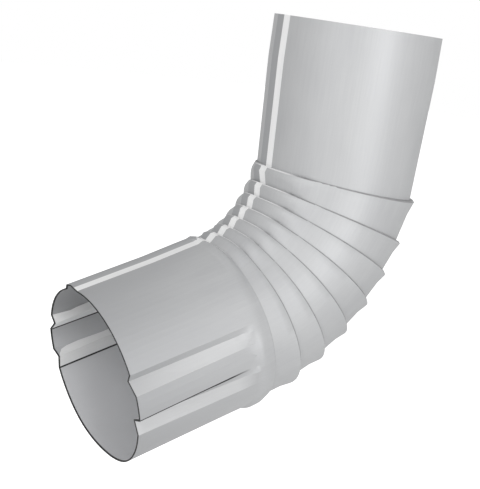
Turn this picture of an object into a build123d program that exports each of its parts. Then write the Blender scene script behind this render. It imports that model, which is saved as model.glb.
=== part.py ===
from build123d import *
from math import atan2, cos, pi, radians, sin
import os

# Round downspout elbow, folded from one thin metal sheet. All sizes are in millimetres.
# The inlet socket stands upright with the centre of its mouth at the origin.
# The pleated bend turns towards -X and ends in a crimped spigot.
# A seam runs the whole length along the inner side of the bend, the throat.
# Angles round the tube start at its outer side, the heel, and pass +Y at 90 degrees.

# Pipe that the socket takes, and the sheet
pipe_diameter = 100.0
pipe_slip = 0.25
sheet = 0.7

# Inlet: a straight socket, then a tube that narrows to stop the pipe
socket_depth = 25.0
inlet_length = 81.5
tube_radius = 48.7

# Bend, measured on the axis of the tube, with its ridges in degrees
bend_radius = 103.0
bend_angle = 75.0
first_ridge = 7.4
last_ridge = 71.8
first_gore = 11.2
gore_count = 7

# Lip at the upper edge of each gore: high at the heel, low on the sides and flanks
heel_lip = 3.1
side_lip = 0.9
flank_lip = 0.35
heel_half = 45.0
side_from = 110.0
flank_from = 155.0
flare_share = 0.35
flare_rest = 0.45
edge_bevel = 0.35

# Rounded swelling of each gore at the throat, where the spare sheet gathers
throat_swell = 2.6
first_swell = 1.3
swell_from = 135.0
swell_full = 165.0
swell_rise = 0.25

# Soft collar between the last gore and the spigot, with shares of its length
collar_length = 3.5
collar_crown = 73.7
crown_share = 0.3
collar_turn = 0.6
turn_share = 0.65
collar_swell = 2.3
collar_throat = 0.7
collar_rise = 0.2
collar_heel = 100.0

# Spigot, crimped to fit into the next pipe
spigot_length = 79.5
spigot_radius = 49.9
rim_radius = 48.3
throat_rise = 0.8
throat_rise_from = 120.0
throat_rise_full = 158.0
throat_rise_length = 30.0

# Crimping: a groove, a panel and a second groove on each side
crimp_corner = 5.5
crimp_end = 14.0
upper_groove = 113.5
lower_groove = 84.5
groove_flank = 4.0
groove_width = 13.0
upper_depth = 4.0
lower_depth = 4.6
upper_start_depth = 1.9
lower_start_depth = 1.4
bevel_drop = 0.8
panel_sink = 1.2
panel_rise = 0.9
heel_lobe = 0.5
heel_lobe_angle = 34.0

# Seam: a band raised from the sheet, steep on one side and sloping on the other.
# Its four corners are given from the steep side, on the tube and then on the spigot.
tube_seam = (159.2, 162.0, 171.0, 176.0)
tube_seam_height = 1.2
spigot_seam = (158.2, 161.2, 167.5, 175.4)
spigot_seam_height = 2.15

# Steps along the long edges of an outline
arc_steps = 3
tube_steps = 27
heel_steps = 13
near_steps = 7
far_steps = 5

# How far the hollow runs past both open ends
overrun = 1.0

socket_radius = pipe_diameter / 2 + pipe_slip + sheet
ridge_radius = bend_radius / cos(radians(first_ridge))
gore_angle = (last_ridge - first_ridge - first_gore) / (gore_count - 1)
ridges = [first_ridge] + [first_ridge + first_gore + gore_angle * i for i in range(gore_count)]
sheet_angle = 180 / pi * sheet / bend_radius
spigot_offset = ridge_radius * cos(radians(bend_angle - last_ridge))
bend_centre = Vector(-bend_radius, 0, -inlet_length)


def ease(value, start, stop):
    """Rises from 0 at start to 1 at stop without a kink."""
    share = min(max((value - start) / (stop - start), 0), 1)
    return share * share * (3 - 2 * share)


def from_heel(angle):
    """Angle from the heel, the same on both sides."""
    return abs((angle + 180) % 360 - 180)


def spread(start, stop, count):
    """Evenly spaced values, both ends included."""
    return [start + (stop - start) * i / (count - 1) for i in range(count)]


def lip_height(angle):
    side = from_heel(angle)
    height = heel_lip + (side_lip - heel_lip) * ease(side, heel_half, side_from)
    return height + (flank_lip - side_lip) * ease(side, side_from, flank_from)


def swell_height(angle):
    return throat_swell * ease(from_heel(angle), swell_from, swell_full)


def hump(share, rise):
    """Half a wave along the tube that starts part of the way up and ends at 0."""
    return max(0, sin(pi * (rise + (1 - rise) * share)))


def blend(first, second, share):
    return first + (second - first) * share


def seam_outline(radius_at, share=0.0):
    """Steep side, crest and sloping side, as (angle, radius). A share of 1 is the spigot."""
    height = blend(tube_seam_height, spigot_seam_height, share)
    angles = [blend(tube, spigot, share) for tube, spigot in zip(tube_seam, spigot_seam)]
    corners = [(angle, radius_at(angle) + lift) for angle, lift in zip(angles, (0, height, height, 0))]
    return [corners[0:2], corners[1:3], corners[2:4]]


def wall(radius_at, start, stop, steps):
    """One long edge of an outline, as (angle, radius)."""
    return [(angle, radius_at(angle)) for angle in spread(start, stop, steps)]


def plain_outline(radius_at, steps=tube_steps):
    """Outline of the tube with its seam, one list of (angle, radius) for each edge."""
    return [wall(radius_at, tube_seam[-1] - 360, tube_seam[0], steps)] + seam_outline(radius_at)


def place(outline, centre, squeeze=1.0):
    """Turns (angle, radius) into points, with x measured from the axis of the bend."""
    placed = []
    for edge in outline:
        points = []
        for angle, radius in edge:
            x = centre + radius * cos(radians(angle))
            points.append((x * squeeze, radius * sin(radians(angle))))
        placed.append(points)
    return placed


def inset(edges, depth):
    """Moves a closed outline inwards, each corner along the middle of its two sides."""
    loop = [point for edge in edges for point in edge[:-1]]
    moved = []
    for i, (x, y) in enumerate(loop):
        before = loop[i - 1]
        after = loop[(i + 1) % len(loop)]
        first = atan2(y - before[1], x - before[0])
        second = atan2(after[1] - y, after[0] - x)
        turn = (second - first + pi) % (2 * pi) - pi
        normal = first + turn / 2 + pi / 2
        reach = depth / cos(turn / 2)
        moved.append((x + reach * cos(normal), y + reach * sin(normal)))
    result = []
    start = 0
    for edge in edges:
        stop = start + len(edge) - 1
        result.append([moved[i % len(moved)] for i in range(start, stop + 1)])
        start = stop
    return result


def section(plane, outline):
    """Closed wire of an outline. Two points make a line, three an arc and more a curve."""
    edges = []
    for edge in outline:
        points = [plane.from_local_coords((x, y, 0)) for x, y in edge]
        if len(points) == 2:
            edges.append(Edge.make_line(*points))
        elif len(points) == 3:
            edges.append(Edge.make_three_point_arc(*points))
        else:
            edges.append(Edge.make_spline(points, parameters=spread(0, 1, len(points))))
    return Wire(edges)


def inlet_plane(height):
    return Plane(origin=(-bend_radius, 0, height), x_dir=(1, 0, 0), z_dir=(0, 0, 1))


def bend_plane(angle, advance=0.0):
    """Plane across the tube at an angle of the bend, moved on along the tube."""
    turn = radians(angle)
    along = Vector(-sin(turn), 0, -cos(turn))
    return Plane(origin=bend_centre + along * advance, x_dir=(cos(turn), 0, -sin(turn)), z_dir=-along)


def skin(stations, inside):
    """Solid through stations, each a plane with its outline. The inside is inset by the sheet."""
    return Solid.make_loft([section(at, inset(edges, sheet) if inside else edges) for at, edges in stations], True)


def inlet_solids(inside):
    """Round socket and narrowing tube, down to the first ridge."""
    inset_by = sheet if inside else 0
    socket_outline = plain_outline(lambda angle: socket_radius - inset_by, arc_steps)
    neck_outline = plain_outline(lambda angle: tube_radius - inset_by, arc_steps)
    stop = section(inlet_plane(-socket_depth), place(socket_outline, bend_radius))
    ridge = bend_plane(first_ridge + (sheet_angle if inside else 0))
    neck = section(ridge, place(neck_outline, ridge_radius))
    socket = extrude(Face(stop), socket_depth + (overrun if inside else 0), dir=(0, 0, 1))
    return [socket, Solid.make_loft([stop, neck], True)]


def gore_station(start, stop, share, flare):
    """Outline at a share of a gore's length. Its sides run straight from ridge to ridge."""
    swell = hump(share, swell_rise) * (first_swell if start == first_ridge else 1)
    middle = (start + stop) / 2
    angle = start + (stop - start) * share
    squeeze = cos(radians(stop - middle)) / cos(radians(angle - middle))

    def radius_at(around):
        return tube_radius + lip_height(around) * flare + swell_height(around) * swell

    return bend_plane(angle), place(plain_outline(radius_at), ridge_radius, squeeze)


def gore_solids(start, stop, inside):
    """One gore: a bevelled lip, a flare and a straight body, or the hollow inside them."""
    edge = sheet_angle / (stop - start)
    end = 1 + edge if inside else 1
    profile = [(edge, 1.0), (flare_share, flare_rest), (end, 0.0)]
    if not inside:
        profile.insert(0, (0.0, 1.0 - edge_bevel))
    return [skin([gore_station(start, stop, share, flare) for share, flare in profile], inside)]


def spigot_base(distance, angle):
    """Radius of the spigot before crimping, at a distance from the end of the bend."""
    share = (distance - collar_length) / (spigot_length - collar_length)
    rise = throat_rise * ease(from_heel(angle), throat_rise_from, throat_rise_full)
    rise *= 1 - ease(distance, collar_length, collar_length + throat_rise_length)
    return spigot_radius + (rim_radius - spigot_radius) * share + rise


def end_station(angle, distance, share=1.0):
    """Outline past the last ridge, at a share of the collar that is 1 all along the spigot."""
    crimp = max(0, (distance - crimp_end) / (spigot_length - crimp_end))
    fade = max(0, 1 - crimp)
    panel = min(max((distance - collar_length) / (crimp_corner - collar_length), 0), 1) * fade
    groove = min(max((distance - crimp_corner) / (crimp_end - crimp_corner), 0), 1) * fade

    def radius_at(around):
        full = spigot_base(max(distance, collar_length), around)
        swell = collar_swell * (1 - ease(from_heel(around), heel_half, collar_heel))
        swell += swell_height(around) * collar_throat + flank_lip
        return blend(tube_radius, full, ease(share, 0, 1)) + swell * hump(share, collar_rise)

    def on_panel(around):
        return around, radius_at(around) - panel_sink * panel + panel_rise * crimp

    upper_floor = upper_groove - groove_flank
    upper_end = upper_groove - groove_width
    lower_floor = lower_groove - groove_flank
    lower_end = lower_groove - groove_width
    side = [
        (upper_groove, radius_at(upper_groove)),
        (upper_floor, radius_at(upper_floor) - upper_start_depth * groove - upper_depth * crimp),
        on_panel(upper_end),
        on_panel((upper_end + lower_groove) / 2),
        on_panel(lower_groove),
        (lower_floor, radius_at(lower_floor) - lower_start_depth * groove - lower_depth * crimp),
        (lower_end, radius_at(lower_end) - bevel_drop * crimp),
    ]
    near = [(-around, radius) for around, radius in side]
    far = side[::-1]
    heel = [near[-1]]
    for around in spread(-lower_end, lower_end, heel_steps)[1:-1]:
        lobe = heel_lobe * crimp * cos(pi * (from_heel(around) / heel_lobe_angle - 1))
        heel.append((around, radius_at(around) + lobe))
    heel.append(far[0])
    seam = seam_outline(radius_at, share)
    near_wall = wall(radius_at, seam[-1][-1][0] - 360, -upper_groove, near_steps)
    far_wall = wall(radius_at, upper_groove, seam[0][0][0], far_steps)
    outline = [near_wall, near[0:2], near[1:3], near[2:5], near[4:6], near[5:7], heel]
    outline += [far[0:2], far[1:3], far[2:5], far[4:6], far[5:7], far_wall]
    centre = spigot_offset / cos(radians(bend_angle - angle))
    return bend_plane(angle, distance), place(outline + seam, centre)


def end_solids(inside):
    """Soft collar, then the crimped spigot with its deepening grooves."""
    start = last_ridge + (sheet_angle if inside else 0)
    waist = collar_length + throat_rise_length
    rim = spigot_length + (overrun if inside else 0)
    stations = [
        end_station(start, 0, 0),
        end_station(collar_crown, 0, crown_share),
        end_station(bend_angle, collar_turn, turn_share),
    ]
    for distance in (collar_length, crimp_corner, crimp_end, waist, rim):
        stations.append(end_station(bend_angle, distance))
    return [skin(stations, inside)]


def whole(inside):
    """The filled outside of the elbow, or the hollow inside it."""
    solids = inlet_solids(inside)
    for start, stop in zip(ridges[:-1], ridges[1:]):
        solids += gore_solids(start, stop, inside)
    solids += end_solids(inside)
    return solids[0].fuse(*solids[1:])


elbow = whole(inside=False) - whole(inside=True)
elbow.label = "elbow"

os.makedirs("parts", exist_ok=True)
export_step(elbow, "parts/elbow.step")
print("elbow", round(elbow.volume), "mm3,", len(elbow.solids()), "solid,", elbow.bounding_box().size)
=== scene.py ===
import bpy
from math import atan2, cos, degrees, pi, radians, sin
from mathutils import Matrix, Vector


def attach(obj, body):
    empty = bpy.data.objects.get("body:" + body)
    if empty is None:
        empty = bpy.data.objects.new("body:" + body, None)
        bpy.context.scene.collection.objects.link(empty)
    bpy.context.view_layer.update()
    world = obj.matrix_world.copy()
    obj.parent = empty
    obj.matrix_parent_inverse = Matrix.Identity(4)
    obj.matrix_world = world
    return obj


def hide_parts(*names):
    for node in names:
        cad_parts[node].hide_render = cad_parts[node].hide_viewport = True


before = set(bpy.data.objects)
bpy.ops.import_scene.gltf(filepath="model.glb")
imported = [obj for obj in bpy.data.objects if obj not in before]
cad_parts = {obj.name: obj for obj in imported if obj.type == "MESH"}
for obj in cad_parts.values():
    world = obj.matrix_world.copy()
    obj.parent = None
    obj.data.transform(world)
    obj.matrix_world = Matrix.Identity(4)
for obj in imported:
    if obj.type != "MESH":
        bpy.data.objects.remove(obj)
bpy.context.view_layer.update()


# Camera, placed where the photograph was drawn from.
# It stands on the side of the seam, a little above the bend, and is rolled to its left, so that the
# socket leans to the right in the picture.
camera_azimuth = radians(-41.0)
camera_elevation = radians(10.2)
camera_roll = radians(8.7)
camera_distance = 0.5337
camera_target = Vector((-0.03975, 0.0, -0.098))
focal_pixels = 899.7
image_width = 480
image_height = 489
sight_x = 283.6
sight_y = 184.3

back = Vector((
    sin(camera_azimuth) * cos(camera_elevation),
    -cos(camera_azimuth) * cos(camera_elevation),
    sin(camera_elevation),
))
level = Vector((cos(camera_azimuth), sin(camera_azimuth), 0.0))
upright = back.cross(level)
right = level * cos(camera_roll) + upright * sin(camera_roll)
up = upright * cos(camera_roll) - level * sin(camera_roll)
place = camera_target + back * camera_distance

lens = bpy.data.cameras.new("camera")
lens.sensor_width = 36.0
lens.lens = focal_pixels * lens.sensor_width / image_height
lens.shift_x = (image_width / 2 - sight_x) / image_height
lens.shift_y = (sight_y - image_height / 2) / image_height
lens.clip_start = 0.01
lens.clip_end = 20.0
camera = bpy.data.objects.new("camera", lens)
bpy.context.scene.collection.objects.link(camera)
camera.matrix_world = Matrix((
    (right.x, up.x, back.x, place.x),
    (right.y, up.y, back.y, place.y),
    (right.z, up.z, back.z, place.z),
    (0.0, 0.0, 0.0, 1.0),
))
bpy.context.scene.camera = camera


# Floor and backdrop: one white sheet well below the elbow, which is drawn without wall or floor.
# Only what the camera sees of the floor and the world is lifted to white. The light that they give
# the elbow, in reflections too, is weaker.
plain_white = (1.0, 1.0, 1.0, 1.0)
floor_height = -0.42
floor_size = 8.0
floor_colour = (0.9, 0.9, 0.9, 1.0)
floor_roughness = 0.9
floor_lift = 0.6
air_strength = 0.64
bpy.ops.object.select_all(action="DESELECT")
bpy.ops.mesh.primitive_plane_add(size=floor_size, location=(0.0, 0.0, floor_height))
floor = bpy.context.object
floor.name = "floor"
bpy.ops.object.transform_apply(location=True, rotation=True, scale=True)
paper = bpy.data.materials.new("white_paper")
paper.use_nodes = True
nodes = paper.node_tree.nodes
links = paper.node_tree.links
shader = nodes["Principled BSDF"]
shader.inputs["Base Color"].default_value = floor_colour
shader.inputs["Roughness"].default_value = floor_roughness
sight = nodes.new("ShaderNodeLightPath")
glow = nodes.new("ShaderNodeEmission")
glow.inputs["Color"].default_value = plain_white
lift = nodes.new("ShaderNodeMath")
lift.operation = "MULTIPLY"
lift.inputs[1].default_value = floor_lift
links.new(sight.outputs["Is Camera Ray"], lift.inputs[0])
links.new(lift.outputs["Value"], glow.inputs["Strength"])
both = nodes.new("ShaderNodeAddShader")
links.new(shader.outputs["BSDF"], both.inputs[0])
links.new(glow.outputs["Emission"], both.inputs[1])
links.new(both.outputs["Shader"], nodes["Material Output"].inputs["Surface"])
floor.data.materials.append(paper)

world = bpy.data.worlds.new("studio")
bpy.context.scene.world = world
world.use_nodes = True
nodes = world.node_tree.nodes
links = world.node_tree.links
air = nodes["Background"]
air.inputs["Color"].default_value = plain_white
air.inputs["Strength"].default_value = air_strength
white = nodes.new("ShaderNodeBackground")
white.inputs["Color"].default_value = plain_white
white.inputs["Strength"].default_value = 1.0
sight = nodes.new("ShaderNodeLightPath")
choose = nodes.new("ShaderNodeMixShader")
links.new(sight.outputs["Is Camera Ray"], choose.inputs["Fac"])
links.new(air.outputs["Background"], choose.inputs[1])
links.new(white.outputs["Background"], choose.inputs[2])
links.new(choose.outputs["Shader"], nodes["World Output"].inputs["Surface"])


# Lamps: a large soft key lamp to the right of the camera and below it, and a weaker one above its
# left. Three more, weaker still, fill in from the front, from close by on the right, and into the
# spigot's open end.
def soft_lamp(name, toward, distance, size, power):
    """Square lamp that faces the elbow from a direction."""
    light = bpy.data.lights.new(name, "AREA")
    light.shape = "SQUARE"
    light.size = size
    light.energy = power
    lamp = bpy.data.objects.new(name, light)
    bpy.context.scene.collection.objects.link(lamp)
    lamp.location = camera_target + toward.normalized() * distance
    lamp.rotation_euler = toward.to_track_quat("Z", "Y").to_euler()


spigot_way = Vector((-0.966, 0.0, -0.259))
soft_lamp("key_lamp", back + right * 0.68 - up * 0.32, distance=2.2, size=0.9, power=15.7)
soft_lamp("fill_lamp", back - right * 0.3 + up * 0.6, distance=2.2, size=0.9, power=8.6)
soft_lamp("front_lamp", back - right * 0.3 + up * 0.05, distance=2.2, size=0.9, power=2.7)
soft_lamp("side_lamp", back * 0.8 + right * 0.7 + up * 0.3, distance=0.7, size=0.3, power=0.5)
soft_lamp("end_lamp", back * 0.6 + spigot_way, distance=1.2, size=0.5, power=0.7)


# The elbow, folded from one coated steel sheet, from its socket through the pleats to the spigot.
# Lines that run along the seam and along the crimped spigot stay crisp. Elsewhere the sheet is
# smooth, apart from edges as steep as those of its lips and cut ends.
merge_reach = 1e-6
smooth_angle = radians(38.0)
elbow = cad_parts["elbow"]
folded = bpy.data.objects.new("folded_sheet", elbow.data.copy())
bpy.context.scene.collection.objects.link(folded)
bpy.ops.object.select_all(action="DESELECT")
folded.select_set(True)
bpy.context.view_layer.objects.active = folded
bpy.ops.object.mode_set(mode="EDIT")
bpy.ops.mesh.select_all(action="SELECT")
bpy.ops.mesh.customdata_custom_splitnormals_clear()
bpy.ops.mesh.remove_doubles(threshold=merge_reach)
bpy.ops.object.mode_set(mode="OBJECT")
bpy.ops.object.shade_smooth_by_angle(angle=smooth_angle)

# Sizes of the solid part, in metres, with its ridges in degrees along the bend.
inlet_length = 0.0815
bend_radius = 0.103
bend_end = radians(75.0)
first_ridge = 7.4
second_ridge = 18.6
gore_angle = 8.8667
gore_count = 7
spigot_length = 0.0795
ridge_radius = bend_radius / cos(radians(first_ridge))
ridges = [first_ridge] + [second_ridge + gore_angle * count for count in range(gore_count)]
ridge_places = [inlet_length + bend_radius * radians(ridge) for ridge in ridges]
spigot_start = inlet_length + bend_radius * bend_end
spigot_rim = spigot_start + spigot_length


def on_sheet(point):
    """Angle round the tube in degrees from its heel, distance from the mouth, and the way outwards."""
    if point.z > -inlet_length:
        way = Vector((point.x, point.y, 0.0))
        return degrees(atan2(point.y, point.x)), -point.z, way.normalized()
    reach = point.x + bend_radius
    turn = min(atan2(-inlet_length - point.z, reach), bend_end)
    across = Vector((cos(turn), 0.0, -sin(turn)))
    along = Vector((-sin(turn), 0.0, -cos(turn)))
    offset = point - Vector((-bend_radius, 0.0, -inlet_length))
    out = offset.dot(across) - ridge_radius
    way = (across * out + Vector((0.0, point.y, 0.0))).normalized()
    return degrees(atan2(point.y, out)), inlet_length + bend_radius * turn + offset.dot(along), way


def ease(value, start, stop):
    """0 before start and 1 after stop, with a soft change between them."""
    share = min(max((value - start) / (stop - start), 0.0), 1.0)
    return share * share * (3.0 - 2.0 * share)


# On the far side of the seam each gore bulges more, where the pleats press out the spare sheet.
far_bulge = 0.0013
bulge_start = 112.0
bulge_top = 140.0
bulge_stop = 160.0
mesh = folded.data
places = [on_sheet(vertex.co) for vertex in mesh.vertices]
for vertex, (angle, distance, way) in zip(mesh.vertices, places):
    for start, stop in zip(ridge_places, ridge_places[1:]):
        if start < distance < stop:
            rise = ease(angle, bulge_start, bulge_top) - ease(angle, bulge_top, bulge_stop)
            height = far_bulge * rise
            vertex.co += way * (height * sin(pi * (distance - start) / (stop - start)))

# Long edges on the seam and on the spigot are sharp.
seam_side = 156.0
collar_end = 0.003
lengthwise_share = 0.8
for edge in mesh.edges:
    first, second = (places[index] for index in edge.vertices)
    one_end, other_end = (mesh.vertices[index].co for index in edge.vertices)
    length = (one_end - other_end).length
    runs_along = abs(first[1] - second[1]) > lengthwise_share * length
    on_seam = min(first[0], second[0]) > seam_side
    on_spigot = min(first[1], second[1]) > spigot_start + collar_end
    if runs_along and (on_seam or on_spigot):
        edge.use_edge_sharp = True

# Where each part of the skin would lie if the tube were straight: round it, and along it from the
# mouth.
straight_radius = 0.05
sheet_place = mesh.attributes.new("sheet_place", "FLOAT_VECTOR", "POINT")
for index, (angle, distance, way) in enumerate(places):
    round_x = straight_radius * cos(radians(angle))
    round_y = straight_radius * sin(radians(angle))
    sheet_place.data[index].vector = (round_x, round_y, distance)

# Corners of the seam and flanks of the grooves are angles from the heel. A face's facing is 1 when
# it looks straight out of the tube, 0 when it is an edge and -1 when it looks straight in.
tube_seam = (162.0, 171.0, 176.0)
spigot_seam = (161.2, 167.5, 175.4)
seam_change = 0.0035
crimp_start = 0.0055
outer_flanks = ((100.5, 109.5), (71.5, 80.5))
inner_flanks = ((100.5, 113.5), (71.5, 84.5))
# Share of painted highlight on the outer flanks of the grooves.
outer_highlight = 0.25
skin_facing = 0.5
edge_facing = 0.3
ledge_facing = 0.9
same_place = 1e-4
ledge_reach = 0.0012
end_reach = 0.0002
mouth_cut = 0.5
no_ridge_before = -1.0
no_ridge_after = 9.0
# Ledges that get painted shade: those of every ridge but the last.
shaded_ledges = ridge_places[:-1]


def within(value, spans):
    """Whether a value lies in one of several spans."""
    return any(start < value < stop for start, stop in spans)


# How far each corner is from the ridge before it and the ridge after it, and how near to the throat.
# Which faces get a painted highlight (the seam's strip and the grooves' flanks), which get painted
# shade (the back of the seam), and which are cut. The attributes are fetched by name, once all of them
# are there.
mesh.attributes.new("ridge_gap", "FLOAT_VECTOR", "CORNER")
mesh.attributes.new("marks", "FLOAT_VECTOR", "FACE")
mesh.attributes.new("inner_side", "FLOAT", "FACE")
ridge_gap = mesh.attributes["ridge_gap"]
marks = mesh.attributes["marks"]
inner_side = mesh.attributes["inner_side"]
for face in mesh.polygons:
    angle, distance, way = on_sheet(face.center)
    facing = face.normal.dot(way)
    here = distance + same_place
    before = max([ridge for ridge in ridge_places if ridge <= here], default=no_ridge_before)
    after = min([ridge for ridge in ridge_places if ridge > here], default=no_ridge_after)
    nearest = min(abs(distance - ledge) for ledge in shaded_ledges)
    # Ledge faces next to a ridge count as lying on it, so they get the full painted shade.
    on_ledge = -edge_facing < facing < ledge_facing and nearest < ledge_reach
    for corner in face.loop_indices:
        corner_angle, corner_distance = places[mesh.loops[corner].vertex_index][:2]
        throat_share = 0.5 - 0.5 * cos(radians(corner_angle))
        gap_after = 0.0 if on_ledge else after - corner_distance
        ridge_gap.data[corner].vector = (corner_distance - before, gap_after, throat_share)
    highlight = 0.0
    shade = 0.0
    cut = 0.0
    beyond = distance - spigot_start
    crimped = beyond > crimp_start
    from_heel = abs(angle)
    # Painted highlight on the seam's strip and the grooves' flanks, painted shade on the back of the
    # seam.
    if facing > skin_facing:
        crest, brow, foot = spigot_seam if beyond > seam_change else tube_seam
        if brow < angle < foot:
            highlight = 1.0
        if crest < angle < brow:
            shade = 1.0
        if crimped and within(from_heel, outer_flanks):
            highlight = outer_highlight
    if facing < -skin_facing and crimped and within(from_heel, inner_flanks):
        highlight = 1.0
    if abs(facing) < edge_facing and distance > spigot_rim - end_reach:
        cut = 1.0
    if abs(facing) < edge_facing and distance < end_reach:
        cut = mouth_cut
    inner_side.data[face.index].value = 1.0 if facing < -edge_facing else 0.0
    marks.data[face.index].vector = (highlight, shade, cut)

# Its coat is a satin grey, and not metallic inside. Inside it is lighter, partly a lighter back coat
# and partly painted light that fades towards the throat. Tone and roughness change a little over it,
# in cloudy patches and in a faint grain along the sheet. Painted shade lies above each ridge and on
# every ledge but the last, next to the collar.
coat = bpy.data.materials.new("satin_steel")
coat.use_nodes = True
nodes = coat.node_tree.nodes
links = coat.node_tree.links
shader = nodes["Principled BSDF"]
coat_dark = (0.47, 0.475, 0.485, 1.0)
coat_light = (0.53, 0.535, 0.54, 1.0)
# Painted shade on the back of the seam.
seam_painted_shade = (0.40, 0.405, 0.415, 1.0)
# Lighter inner coat, partly painted light on the shaded inside.
inner_coat_and_light = (0.62, 0.625, 0.64, 1.0)
# Painted shade on the spigot, darker towards its rim.
spigot_painted_shade = (0.38, 0.385, 0.395, 1.0)
# Painted highlight colour, for the seam's strip, the grooves' flanks and the lips.
painted_highlight_colour = (0.88, 0.88, 0.88, 1.0)
# Painted shade colour above the ridges and on the ledges.
ridge_shade_colour = (0.31, 0.31, 0.315, 1.0)
# Painted shade colour for the dark lines in the creases, round the rim and on the cut ends.
line_shade_colour = (0.015, 0.015, 0.015, 1.0)
metal_share = 0.35


def attribute(name):
    """One of the piece's own attributes, whole and as x, y and z."""
    reader = nodes.new("ShaderNodeAttribute")
    reader.attribute_name = name
    parts = nodes.new("ShaderNodeSeparateXYZ")
    links.new(reader.outputs["Vector"], parts.inputs["Vector"])
    return reader.outputs["Vector"], parts.outputs


def patches(vector, scale, stretch, detail):
    """Soft noise, stretched along the sheet."""
    sized = nodes.new("ShaderNodeMapping")
    sized.inputs["Scale"].default_value = (scale, scale, scale * stretch)
    links.new(vector, sized.inputs["Vector"])
    noise = nodes.new("ShaderNodeTexNoise")
    noise.inputs["Scale"].default_value = 1.0
    noise.inputs["Detail"].default_value = detail
    links.new(sized.outputs["Vector"], noise.inputs["Vector"])
    return noise.outputs["Fac"]


def ramp(value, start, stop, low, high):
    """Goes from low at start to high at stop, and stays there."""
    change = nodes.new("ShaderNodeMapRange")
    change.inputs["From Min"].default_value = start
    change.inputs["From Max"].default_value = stop
    change.inputs["To Min"].default_value = low
    change.inputs["To Max"].default_value = high
    links.new(value, change.inputs["Value"])
    return change.outputs["Result"]


def combine(operation, first, second):
    """A sum, product or other step with two values, which may be plain numbers."""
    step = nodes.new("ShaderNodeMath")
    step.operation = operation
    for socket, value in zip(step.inputs, (first, second)):
        if isinstance(value, float):
            socket.default_value = value
        else:
            links.new(value, socket)
    return step.outputs["Value"]


def cover(under, over, amount):
    """Lays one colour over another by an amount from 0 to 1."""
    layer = nodes.new("ShaderNodeMix")
    layer.data_type = "RGBA"
    links.new(amount, layer.inputs["Factor"])
    for socket, value in ((layer.inputs["A"], under), (layer.inputs["B"], over)):
        if isinstance(value, tuple):
            socket.default_value = value
        else:
            links.new(value, socket)
    return layer.outputs["Result"]


# The throat share is 0 at the heel and 1 at the throat, and the angle is the same on both sides.
sheet_vector, sheet_parts = attribute("sheet_place")
gap_parts = attribute("ridge_gap")[1]
mark_parts = attribute("marks")[1]
inside = attribute("inner_side")[1]["X"]
along = sheet_parts["Z"]
around = combine("ABSOLUTE", combine("ARCTAN2", sheet_parts["Y"], sheet_parts["X"]), 0.0)
past_ridge, before_ridge, near_throat = (gap_parts[axis] for axis in "XYZ")
highlight_mark, shade_mark, cut_mark = (mark_parts[axis] for axis in "XYZ")
cloud = patches(sheet_vector, scale=45.0, stretch=0.5, detail=3.0)
grain = patches(sheet_vector, scale=900.0, stretch=0.04, detail=2.0)
speck = patches(sheet_vector, scale=260.0, stretch=1.0, detail=5.0)
noise_middle = (0.3, 0.7)
window_edge = 0.2


def spread(noise, low, high):
    """Stretches the middle of a noise from low to high."""
    return ramp(noise, *noise_middle, low, high)


def by_angle(start, stop, low, high):
    """Goes from low to high between two angles from the heel, in degrees."""
    return ramp(around, radians(start), radians(stop), low, high)


def down_spigot(start, stop, low, high):
    """Goes from low to high between two distances from where the spigot starts."""
    return ramp(along, spigot_start + start, spigot_start + stop, low, high)


def near_rim(start, stop):
    """0 farther from the spigot's rim than start, and 1 nearer than stop."""
    return ramp(along, spigot_rim - start, spigot_rim - stop, 0.0, 1.0)


def window(start, stop):
    """1 between two angles in degrees and 0 outside, with soft ends."""
    opens = by_angle(start, start + window_edge, 0.0, 1.0)
    closes = by_angle(stop - window_edge, stop, 1.0, 0.0)
    return combine("MULTIPLY", opens, closes)


# The coat itself, with painted shade darkening it towards the spigot's rim. Inside it is lighter,
# partly a back coat and partly painted light that fades towards the throat.
cloud_tone = 0.6
grain_tone = 0.4
rim_shade_amount = 0.75
inner_light_fade = (0.3, 0.75)
tone = combine("ADD", spread(cloud, 0.0, cloud_tone), spread(grain, 0.0, grain_tone))
colour = cover(coat_dark, coat_light, tone)
colour = cover(colour, spigot_painted_shade, ramp(along, spigot_start, spigot_rim, 0.0, rim_shade_amount))
# Painted light inside, on a lighter back coat, fading out towards the throat.
inner_coat_and_light_share = combine("MULTIPLY", inside, ramp(near_throat, *inner_light_fade, 1.0, 0.0))
colour = cover(colour, inner_coat_and_light, inner_coat_and_light_share)

# Painted highlights: bright strips on the seam and the grooves, with painted shade on the back of the
# seam. On the spigot the seam's strip is narrower than its slope, and the grooves' strips fade in
# behind the collar; the rest of each slope or flank there gets painted shade.
narrow_change = (-0.002, 0.004)
seam_half = (120.0, 121.0)
strip_edge = (170.6, 171.2)
strip_fade = (0.006, 0.018)
groove_edge = (114.0, 120.0)
slope_shade = 0.6
strip_grain = 0.9
off_spigot = down_spigot(*narrow_change, 1.0, 0.0)
off_seam = combine("MAXIMUM", off_spigot, by_angle(*seam_half, 1.0, 0.0))
strip = combine("MAXIMUM", off_seam, by_angle(*strip_edge, 0.0, 1.0))
deep = down_spigot(*strip_fade, 0.0, 1.0)
off_grooves = by_angle(*groove_edge, 0.0, 1.0)
strip = combine("MULTIPLY", strip, combine("MAXIMUM", deep, off_grooves))
strip = combine("MULTIPLY", highlight_mark, strip)
less_metal = combine("MAXIMUM", inner_coat_and_light_share, combine("MULTIPLY", strip, inside))
links.new(ramp(less_metal, 0.0, 1.0, metal_share, 0.0), shader.inputs["Metallic"])
slope_shade_share = combine("MULTIPLY", combine("SUBTRACT", highlight_mark, strip), slope_shade)
colour = cover(colour, seam_painted_shade, combine("ADD", shade_mark, slope_shade_share))
colour = cover(colour, painted_highlight_colour, combine("MULTIPLY", strip, spread(grain, strip_grain, 1.0)))
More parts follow.
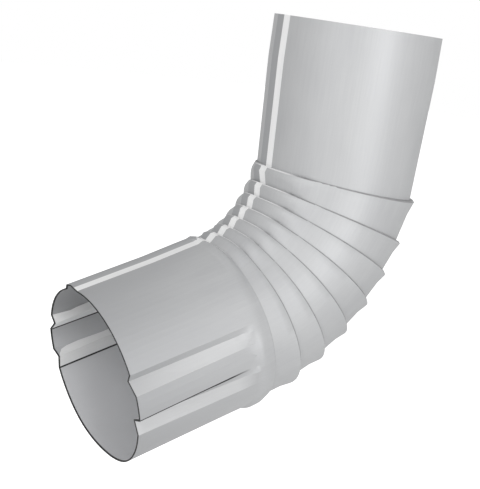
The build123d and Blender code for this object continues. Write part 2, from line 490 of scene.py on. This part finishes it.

# Painted shade at the ridges, in speckled patches, is thinner near the heel and ends before the
# throat, where the lips get a painted highlight.
speck_middle = (0.35, 0.65)
thin_shade = 0.75
shade_at_throat = (0.95, 0.985)
shade_at_heel = (0.08, 0.3)
heel_shade = 0.3
shade_width = 0.0006
lip_at_throat = (0.965, 0.99)
lip_width = (0.0008, 0.0014)
lip_highlight_strength = 0.8
shade_patches = ramp(speck, *speck_middle, thin_shade, 1.0)
throat_end = ramp(near_throat, *shade_at_throat, 1.0, 0.0)
heel_end = ramp(near_throat, *shade_at_heel, heel_shade, 1.0)
shade_reach = combine("MULTIPLY", shade_patches, combine("MINIMUM", throat_end, heel_end))
# Painted shade just above each ridge.
ridge_shade = combine("MULTIPLY", ramp(before_ridge, 0.0, shade_width, 1.0, 0.0), shade_reach)
colour = cover(colour, ridge_shade_colour, ridge_shade)
# Painted highlight along the lips near the throat.
lip_highlight_share = ramp(near_throat, *lip_at_throat, 0.0, lip_highlight_strength)
lip_highlight = combine("MULTIPLY", ramp(past_ridge, *lip_width, 1.0, 0.0), lip_highlight_share)
colour = cover(colour, painted_highlight_colour, lip_highlight)

# Painted shade: dark lines in creases of the spigot's grooves, round its rim and on the cut ends.
crease_fade = (0.010, 0.022)
outer_crease_span = (84.0, 85.4)
upper_crease_span = (99.7, 101.1)
lower_crease_span = (70.7, 72.1)
rim_line_outside = (0.0004, 0.0002)
rim_line_inside = (0.0009, 0.0006)
outside = combine("SUBTRACT", 1.0, inside)
outer_crease = combine("MULTIPLY", window(*outer_crease_span), outside)
inner_creases = combine("ADD", window(*upper_crease_span), window(*lower_crease_span))
crease_shade = combine("ADD", outer_crease, combine("MULTIPLY", inner_creases, inside))
crease_shade = combine("MULTIPLY", crease_shade, down_spigot(*crease_fade, 0.0, 1.0))
inner_rim_line = combine("MULTIPLY", near_rim(*rim_line_inside), inside)
rim_line = combine("MAXIMUM", near_rim(*rim_line_outside), inner_rim_line)
dark_line = combine("MAXIMUM", crease_shade, combine("MAXIMUM", rim_line, cut_mark))
colour = cover(colour, line_shade_colour, dark_line)
links.new(colour, shader.inputs["Base Color"])

# Roughness and small relief follow the same patches.
cloud_roughness = (0.50, 0.58)
grain_roughness = 0.03
ridge_shade_roughness = 0.3
grain_relief = 0.35
relief_strength = 0.25
relief_height = 0.0006
grain_change = spread(grain, -grain_roughness, grain_roughness)
roughness = combine("ADD", spread(cloud, *cloud_roughness), grain_change)
roughness = combine("ADD", roughness, combine("MULTIPLY", ridge_shade, ridge_shade_roughness))
links.new(roughness, shader.inputs["Roughness"])
relief = combine("ADD", combine("MULTIPLY", grain, grain_relief), cloud)
bump = nodes.new("ShaderNodeBump")
bump.inputs["Strength"].default_value = relief_strength
bump.inputs["Distance"].default_value = relief_height
links.new(relief, bump.inputs["Height"])
links.new(bump.outputs["Normal"], shader.inputs["Normal"])

folded.data.materials.clear()
folded.data.materials.append(coat)
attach(folded, "root")
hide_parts("elbow")


# Colour settings, and the end.
bpy.context.scene.view_settings.view_transform = "Standard"
